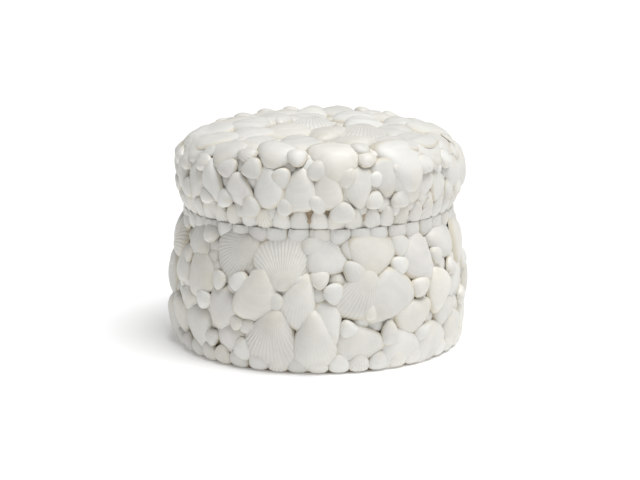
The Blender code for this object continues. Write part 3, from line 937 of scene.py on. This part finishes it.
def rows_to_shells(rows, spot, large, rng, ribbed=None, faint=(), lift=None, grow=None,
                   height=None, side_roll=0.0, tip=0.0):
    """Shells of a table of rows; without a list of the ribbed ones their kinds are drawn.

    Large shells without a lift of their own lie loose: lifted, tipped and rolled at random.
    """
    loose = large and lift is None
    if grow is None:
        grow = GROW_WIDE if large else SMALL_GROW_WIDE
    if height is None:
        height = LARGE_HEIGHT if large else SMALL_HEIGHT
    if lift is None:
        lift = -LARGE_SINK if large else SMALL_LIFT
    shells = []
    for index, (umbo_first, umbo_second, edge_first, edge_second, width) in enumerate(rows):
        if ribbed is None:
            kind = rng.choices(*(LARGE_KINDS if large else SMALL_KINDS))[0]
        elif index in ribbed:
            kind = RIBBED if large else SMALL_RIBBED
        elif index in faint:
            kind = FAINT
        else:
            kind = SMOOTH if large else SMALL_SMOOTH
        umbo = spot(umbo_first, umbo_second)
        edge = spot(edge_first, edge_second)
        rise, own_tip, roll = lift, tip, 0.0
        if loose:
            rise += rng.uniform(*LIFTS)
            own_tip += rng.uniform(*TIPS)
            roll = rng.uniform(*ROLLS) + math.copysign(side_roll, umbo_second - edge_second)
        shells.append(Shell(umbo, edge, width * MM, large, rise, height, kind, pick_tint(rng),
                            grow, own_tip, roll))
    return shells


def course_shells(course, spot, rng, height, lift):
    """Shells of a course all the way round."""
    return rows_to_shells(course_rows(*course), spot, False, rng, lift=lift,
                          grow=COURSE_GROW_WIDE, height=height)


# Small shells low in the gaps between the others


def box_spots():
    """Spots all over the box's side."""
    step = math.degrees(GAP_PITCH / BELLY_RADIUS)
    heights = np.arange(GAP_LOWEST, GAP_HIGHEST, GAP_PITCH / MM)
    return [box_spot(azimuth, height) for height in heights for azimuth in np.arange(0, 360, step)]


def lid_spots():
    """Spots all over the lid's side and top."""
    spots = []
    for reach in np.arange(GAP_LOWEST, lid_full_reach(), GAP_PITCH / MM):
        radius = math.hypot(*lid_spot(0, reach)[0].xy)
        count = max(1, round(2 * math.pi * radius / GAP_PITCH))
        spots += [lid_spot(360 * index / count, reach) for index in range(count)]
    return spots


def covered_by(shell, points, share=GAP_SHARE):
    """Which points lie under a share of a shell's width."""
    turn, place, length = seat(shell.umbo, shell.edge, shell.lift)
    local = (points - np.array(place)) @ np.array(turn)
    taper = FAN_TAPER if shell.large else SMALL_FAN_TAPER
    along = (local[:, 1] / length + UMBO_BACK) / (GROW_LONG if shell.large else SMALL_GROW_LONG)
    half = half_width(np.clip(along, 0, 1), shell.width * shell.grow, taper)
    inside = (along > 0) & (along < 1) & (np.abs(local[:, 0]) < half * share)
    return inside & (np.abs(local[:, 2]) < GAP_REACH)


def gap_fillers(shells, spots, rng, bent=()):
    """Small shells placed one after another where most bare spots lie close together.

    The shells bent over the corner stand off it, so only their middle counts as cover.
    """
    points = np.array([spot[0] for spot in spots])
    bare = np.ones(len(points), bool)
    for shell in shells:
        bare &= ~covered_by(shell, points)
    for shell in bent:
        bare &= ~covered_by(shell, points, BENT_SHARE)
    fillers = []
    places = np.flatnonzero(bare)
    near = np.linalg.norm(points[places, None] - points[None, places], axis=2) < GAP_NEAR
    left = np.ones(len(places), bool)
    while True:
        crowd = (near & left).sum(axis=1) * left
        best = int(np.argmax(crowd))
        if crowd[best] < GAP_CROWD:
            return fillers
        centre = Vector(points[places[near[best] & left]].mean(axis=0))
        normal = spots[places[best]][1]
        way = normal.orthogonal().normalized()
        way.rotate(Quaternion(normal, rng.uniform(0, 2 * math.pi)))
        length = rng.uniform(*FILLER_LENGTHS)
        width = length * rng.uniform(*FILLER_ROUNDNESS)
        filler = Shell((centre - way * length / 2, normal), (centre + way * length / 2, normal),
                       width, False, -FILLER_SINK, SMALL_HEIGHT, FILLER, pick_tint(rng),
                       SMALL_GROW_WIDE, 0.0, 0.0)
        fillers.append(filler)
        left &= ~covered_by(filler, points[places])
        left[best] = False


# Glue bed under the shells


def glue_piece(name, outline, node, material, rng):
    """Lumpy closed ring of glue, turned from a closed outline of radius, height and lumpiness."""
    waves = [(rng.randint(*GLUE_TURNS), rng.uniform(*GLUE_RATES), rng.uniform(0, 2 * math.pi))
             for _ in range(GLUE_WAVES)]
    angles = np.linspace(0, 2 * math.pi, GLUE_SEGMENTS, endpoint=False)
    rings = []
    for radius, height, lumps in outline:
        swell = sum(np.sin(turns * angles + rate * (height + radius) / GLUE_RATE_SPAN + phase)
                    for turns, rate, phase in waves) / GLUE_WAVES
        away = radius + lumps * GLUE_LUMP * swell
        rings.append(np.stack([away * np.sin(angles), -away * np.cos(angles),
                               np.full_like(angles, height)], axis=-1))
    points = np.concatenate(rings)
    faces = []
    for ring in range(len(outline)):
        low = ring * GLUE_SEGMENTS
        high = (ring + 1) % len(outline) * GLUE_SEGMENTS
        for index in range(GLUE_SEGMENTS):
            after = (index + 1) % GLUE_SEGMENTS
            faces.append((low + index, low + after, high + after, high + index))
    data = bpy.data.meshes.new(name)
    data.from_pydata(points, [], faces)
    data.shade_smooth()
    add_piece(name, data, node, material)


# Materials


def node_tree(name):
    """New material with its node tree and shader."""
    material = bpy.data.materials.new(name)
    material.use_nodes = True
    tree = material.node_tree
    return material, tree, tree.nodes["Principled BSDF"]


def set_surface(tree, shader, colour, roughness, normal):
    """Set the shader's main inputs from sockets, or the roughness from a number."""
    tree.links.new(colour, shader.inputs["Base Color"])
    tree.links.new(normal, shader.inputs["Normal"])
    if isinstance(roughness, bpy.types.NodeSocket):
        tree.links.new(roughness, shader.inputs["Roughness"])
    else:
        shader.inputs["Roughness"].default_value = roughness


def mixed(tree, share, first, second, blend="MIX"):
    """Colour output of a mix; share, first and second are sockets or values."""
    mix = tree.nodes.new("ShaderNodeMix")
    mix.data_type = "RGBA"
    mix.blend_type = blend
    for socket, value in ((mix.inputs[0], share), (mix.inputs[6], first), (mix.inputs[7], second)):
        if isinstance(value, bpy.types.NodeSocket):
            tree.links.new(value, socket)
        else:
            socket.default_value = value
    return mix.outputs[2]


def mapped(tree, value, low, high, to_low, to_high, smooth=False):
    """Output of a value mapped from one range to another."""
    node = tree.nodes.new("ShaderNodeMapRange")
    node.interpolation_type = "SMOOTHSTEP" if smooth else "LINEAR"
    tree.links.new(value, node.inputs["Value"])
    for name, number in (("From Min", low), ("From Max", high), ("To Min", to_low),
                         ("To Max", to_high)):
        node.inputs[name].default_value = number
    return node.outputs["Result"]


def sums(tree, operation, first, second):
    """Output of arithmetic on sockets or numbers."""
    node = tree.nodes.new("ShaderNodeMath")
    node.operation = operation
    for socket, value in zip(node.inputs, (first, second)):
        if isinstance(value, bpy.types.NodeSocket):
            tree.links.new(value, socket)
        else:
            socket.default_value = value
    return node.outputs[0]


def noise_along(tree, value, offset, rate, detail):
    """Output of smooth noise along one value, at a rate and from an offset."""
    place = sums(tree, "ADD", sums(tree, "MULTIPLY", value, rate), offset)
    node = tree.nodes.new("ShaderNodeTexNoise")
    node.noise_dimensions = "1D"
    node.inputs["Scale"].default_value = 1.0
    node.inputs["Detail"].default_value = detail
    tree.links.new(place, node.inputs["W"])
    return node.outputs["Fac"]


def noise_in_space(tree, scale, detail, stretch=(1, 1, 1)):
    """Output of noise over the object's own space."""
    place = tree.nodes.new("ShaderNodeTexCoord")
    mapping = tree.nodes.new("ShaderNodeMapping")
    mapping.inputs["Scale"].default_value = stretch
    tree.links.new(place.outputs["Object"], mapping.inputs["Vector"])
    node = tree.nodes.new("ShaderNodeTexNoise")
    node.inputs["Scale"].default_value = scale
    node.inputs["Detail"].default_value = detail
    tree.links.new(mapping.outputs["Vector"], node.inputs["Vector"])
    return node.outputs["Fac"]


def bumped(tree, height, strength, distance, after=None):
    """Normal output of a bump, on top of another."""
    node = tree.nodes.new("ShaderNodeBump")
    node.inputs["Strength"].default_value = strength
    node.inputs["Distance"].default_value = distance
    tree.links.new(height, node.inputs["Height"])
    if after:
        tree.links.new(after, node.inputs["Normal"])
    return node.outputs["Normal"]


def shell_material():
    """Sea shell: own tint, creamier umbo, tan margin of glue remains and painted shade, growth
    bands and lines, painted shade in the rib grooves.
    """
    material, tree, shader = node_tree("ivory_shell")
    tint = tree.nodes.new("ShaderNodeAttribute")
    tint.attribute_name = "tint"
    growth = tree.nodes.new("ShaderNodeAttribute")
    growth.attribute_name = "growth"
    parts = tree.nodes.new("ShaderNodeSeparateXYZ")
    tree.links.new(growth.outputs["Vector"], parts.inputs[0])
    stage, ridge, own = parts.outputs
    offset = sums(tree, "MULTIPLY", own, OWN_RATE)
    bands = noise_along(tree, stage, offset, *BANDS)
    lines = noise_along(tree, stage, offset, *LINES)
    colour = tint.outputs["Color"]
    umbo = sums(tree, "MULTIPLY", mapped(tree, stage, *UMBO_FADE, smooth=True),
                mapped(tree, own, *UMBO_VARIES))
    colour = mixed(tree, umbo, colour, UMBO_COLOUR)
    # Tan margin: glue remains and painted shade where the shells meet
    edge = mapped(tree, stage, *EDGE_GLUE_AND_SHADE_FADE, smooth=True)
    colour = mixed(tree, edge, colour, EDGE_GLUE_AND_SHADE_COLOUR)
    # Painted shade in the rib grooves: the lower on a rib a point is, the darker
    groove_shade = mapped(tree, ridge, *GROOVE_SHADE_FADE)
    colour = mixed(tree, groove_shade, colour, GROOVE_SHADE_COLOUR)
    shade = mapped(tree, bands, *BAND_SHADE)
    fine = mapped(tree, lines, *LINE_SHADE)
    stain = mapped(tree, noise_in_space(tree, *STAIN_NOISE), *STAIN_SHADE)
    tone = sums(tree, "MULTIPLY", sums(tree, "MULTIPLY", shade, fine), stain)
    grey = tree.nodes.new("ShaderNodeCombineXYZ")
    for socket in grey.inputs:
        tree.links.new(tone, socket)
    colour = mixed(tree, 1.0, colour, grey.outputs[0], "MULTIPLY")
    normal = bumped(tree, lines, *LINE_BUMP)
    normal = bumped(tree, bands, *BAND_BUMP, normal)
    normal = bumped(tree, noise_in_space(tree, *CHALK_NOISE), *CHALK_BUMP, normal)
    set_surface(tree, shader, colour, mapped(tree, bands, *BAND_ROUGHNESS), normal)
    return material


def glue_material():
    """Old brown glue over wood, blotchy and a little shiny."""
    material, tree, shader = node_tree("old_glue")
    blotch = noise_in_space(tree, *GLUE_BLOTCHES)
    share = mapped(tree, blotch, *GLUE_FADE)
    colour = mixed(tree, share, GLUE_COLOUR, GLUE_LIGHT_COLOUR)
    normal = bumped(tree, noise_in_space(tree, *GLUE_NOISE), *GLUE_BUMP)
    set_surface(tree, shader, colour, GLUE_ROUGHNESS, normal)
    return material


def wood_material(name, dark, light, stretch):
    """Plain wood with fine grain along one way."""
    material, tree, shader = node_tree(name)
    grain = noise_in_space(tree, *GRAIN_NOISE, stretch)
    colour = mixed(tree, mapped(tree, grain, *GRAIN_FADE), dark, light)
    roughness = mapped(tree, grain, *GRAIN_ROUGHNESS)
    set_surface(tree, shader, colour, roughness, bumped(tree, grain, *GRAIN_BUMP))
    return material


# Setting: floor, light and camera


def add_floor():
    """Plain white floor."""
    data = bpy.data.meshes.new("floor")
    half = FLOOR_SIZE / 2
    data.from_pydata([(-half, -half, 0), (half, -half, 0), (half, half, 0), (-half, half, 0)], [],
                     [(0, 1, 2, 3)])
    floor = add_object("floor", data)
    material, tree, shader = node_tree("white_floor")
    shader.inputs["Base Color"].default_value = FLOOR_COLOUR
    shader.inputs["Roughness"].default_value = FLOOR_ROUGHNESS
    shader.inputs["Specular IOR Level"].default_value = FLOOR_SPECULAR
    shader.inputs["Emission Color"].default_value = WHITE
    shader.inputs["Emission Strength"].default_value = FLOOR_GLOW
    data.materials.append(material)


def add_light(name, way, breadth, strength):
    """Soft light from far away, the same all over the floor."""
    data = bpy.data.lights.new(name, "SUN")
    data.angle = math.radians(breadth)
    data.energy = strength
    light = add_object(name, data)
    light.location = way
    light.rotation_euler = Vector(way).to_track_quat("Z", "Y").to_euler()


def add_world():
    """Even white surroundings."""
    world = bpy.data.worlds.new("white_studio")
    world.use_nodes = True
    background = world.node_tree.nodes["Background"]
    background.inputs["Color"].default_value = WHITE
    background.inputs["Strength"].default_value = WORLD_STRENGTH
    bpy.context.scene.world = world


def add_camera():
    """Camera at the photograph's place."""
    data = bpy.data.cameras.new("camera")
    data.lens = CAMERA_LENS
    data.sensor_width = CAMERA_SENSOR
    camera = add_object("camera", data)
    camera.location = CAMERA_PLACE
    camera.rotation_euler = (math.radians(90 - CAMERA_DIP), 0, 0)
    bpy.context.scene.camera = camera


# The pieces


def bed_outlines():
    """Closed outlines of the glue beds of box and lid: radius, height, lumpiness."""
    low = BOARD_THICKNESS + FIT_GAP
    rise = SEAM_HEIGHT - FIT_GAP - low
    heights = [low + rise * step / BED_STEPS for step in range(BED_STEPS + 1)]
    outer = [(box_radius(height) + BED, height, 0 if height == low else 1) for height in heights]
    inner = [(box_radius(height) + FIT_GAP, height, 0) for height in heights[::BED_INNER_STEP]]
    box_bed = outer + inner[::-1]
    side = dense(lid_outline(BED, LID_BED_CORNER))
    under = lid_outline(FIT_GAP, LID_BED_CORNER)
    lid_bed = [(*point, 0 if index == 0 else 1) for index, point in enumerate(side)]
    lid_bed += [(radius, height, 0) for radius, height in under[::-1] if radius > 0]
    lid_bed = [(max(radius, BED_CENTRE), height, lumps) for radius, height, lumps in lid_bed]
    return box_bed, lid_bed


def dense(outline):
    """The same outline with a point at least every few millimetres."""
    points = [outline[0]]
    for low, high in zip(outline, outline[1:]):
        count = max(1, round(math.dist(low, high) / BED_PITCH))
        for step in range(1, count + 1):
            share = step / count
            points.append(tuple(start + (end - start) * share for start, end in zip(low, high)))
    return points


def main():
    """Shells, glue and wood on the CAD frame, then floor, light and camera."""
    bpy.context.scene.view_settings.view_transform = "Standard"
    layout = random.Random(SEED)
    finish = random.Random(FINISH_SEED)
    shell = shell_material()
    glue = glue_material()
    box_wood = wood_material(*BOX_WOOD)
    board_wood = wood_material(*BOARD_WOOD)
    for name, material in (("base_board", board_wood), ("box_body", box_wood), ("lid", box_wood)):
        for material_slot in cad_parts[name].material_slots:
            material_slot.material = material

    back_large, back_small = hidden_box_rows(layout)
    lid_back_large, lid_back_small = hidden_lid_rows(layout)
    corner_large, corner_small = hidden_corner_rows(layout)

    groups = [
        ("box_front_shells", BODY_COAT,
         rows_to_shells(BOX_LARGE, box_spot, True, finish, BOX_RIBBED, BOX_FAINT)),
        ("box_front_small_shells", BODY_COAT,
         rows_to_shells(BOX_SMALL, box_spot, False, finish, BOX_SMALL_RIBBED)),
        ("box_back_shells", BODY_COAT, rows_to_shells(back_large, box_spot, True, finish)),
        ("box_back_small_shells", BODY_COAT,
         rows_to_shells(back_small, box_spot, False, finish, lift=SMALL_HIDDEN_LIFT)),
        ("box_foot_course", BODY_COAT,
         course_shells(FOOT_COURSE, box_spot, finish, SMALL_HEIGHT, FOOT_LIFT)),
        ("box_neck_course", BODY_COAT,
         course_shells(NECK_COURSE, box_spot, finish, NECK_HEIGHT, NECK_LIFT)),
        ("lid_side_shells", LID_COAT,
         rows_to_shells(LID_LARGE, lid_spot, True, finish, (), LID_FAINT,
                        side_roll=LID_SIDE_ROLL)
         + rows_to_shells(lid_back_large, lid_spot, True, finish, side_roll=LID_SIDE_ROLL)),
        ("lid_side_small_shells", LID_COAT,
         rows_to_shells(LID_SMALL, lid_spot, False, finish, LID_SMALL_RIBBED)
         + rows_to_shells(lid_back_small, lid_spot, False, finish, lift=SMALL_HIDDEN_LIFT)
         + rows_to_shells(CORNER_SMALL, lid_spot, False, finish)
         + rows_to_shells(corner_small, lid_spot, False, finish, lift=SMALL_HIDDEN_LIFT)),
        ("lid_corner_shells", LID_COAT,
         rows_to_shells(CORNER_LARGE, lid_spot, True, finish, CORNER_RIBBED, lift=CORNER_LIFT,
                        grow=CORNER_GROW_WIDE, height=CORNER_HEIGHT, tip=CORNER_TIP)
         + rows_to_shells(corner_large, lid_spot, True, finish, lift=CORNER_HIDDEN_LIFT,
                          grow=CORNER_GROW_WIDE)),
        ("lid_rim_course", LID_COAT,
         course_shells(RIM_COURSE, lid_spot, finish, RIM_HEIGHT, RIM_LIFT)),
        ("lid_top_shells", LID_COAT,
         rows_to_shells(TOP_LARGE, top_spot, True, finish, TOP_RIBBED, TOP_FAINT,
                        height=TOP_HEIGHT)),
        ("lid_top_small_shells", LID_COAT,
         rows_to_shells(TOP_SMALL, top_spot, False, finish, lift=TOP_SMALL_LIFT,
                        height=TOP_SMALL_HEIGHT)
         + rows_to_shells(TOP_HIGH_SMALL, top_spot, False, finish, lift=TOP_HIGH_LIFT,
                          height=TOP_HIGH_HEIGHT)),
    ]
    for name, node, spots in (("box_gap_shells", BODY_COAT, box_spots()),
                              ("lid_gap_shells", LID_COAT, lid_spots())):
        placed, bent = [], []
        for other, other_node, shells in groups:
            if other_node == node:
                (bent if other == "lid_corner_shells" else placed).extend(shells)
        groups.append((name, node, gap_fillers(placed, spots, finish, bent)))
    for name, node, shells in groups:
        shell_piece(name, shells, node, shell, finish)
    box_bed, lid_bed = bed_outlines()
    glue_piece("box_glue_bed", box_bed, BODY_COAT, glue, finish)
    glue_piece("lid_glue_bed", lid_bed, LID_COAT, glue, finish)

    add_floor()
    add_world()
    for name, way, breadth, strength in LIGHTS:
        add_light(name, way, breadth, strength)
    add_camera()


main()
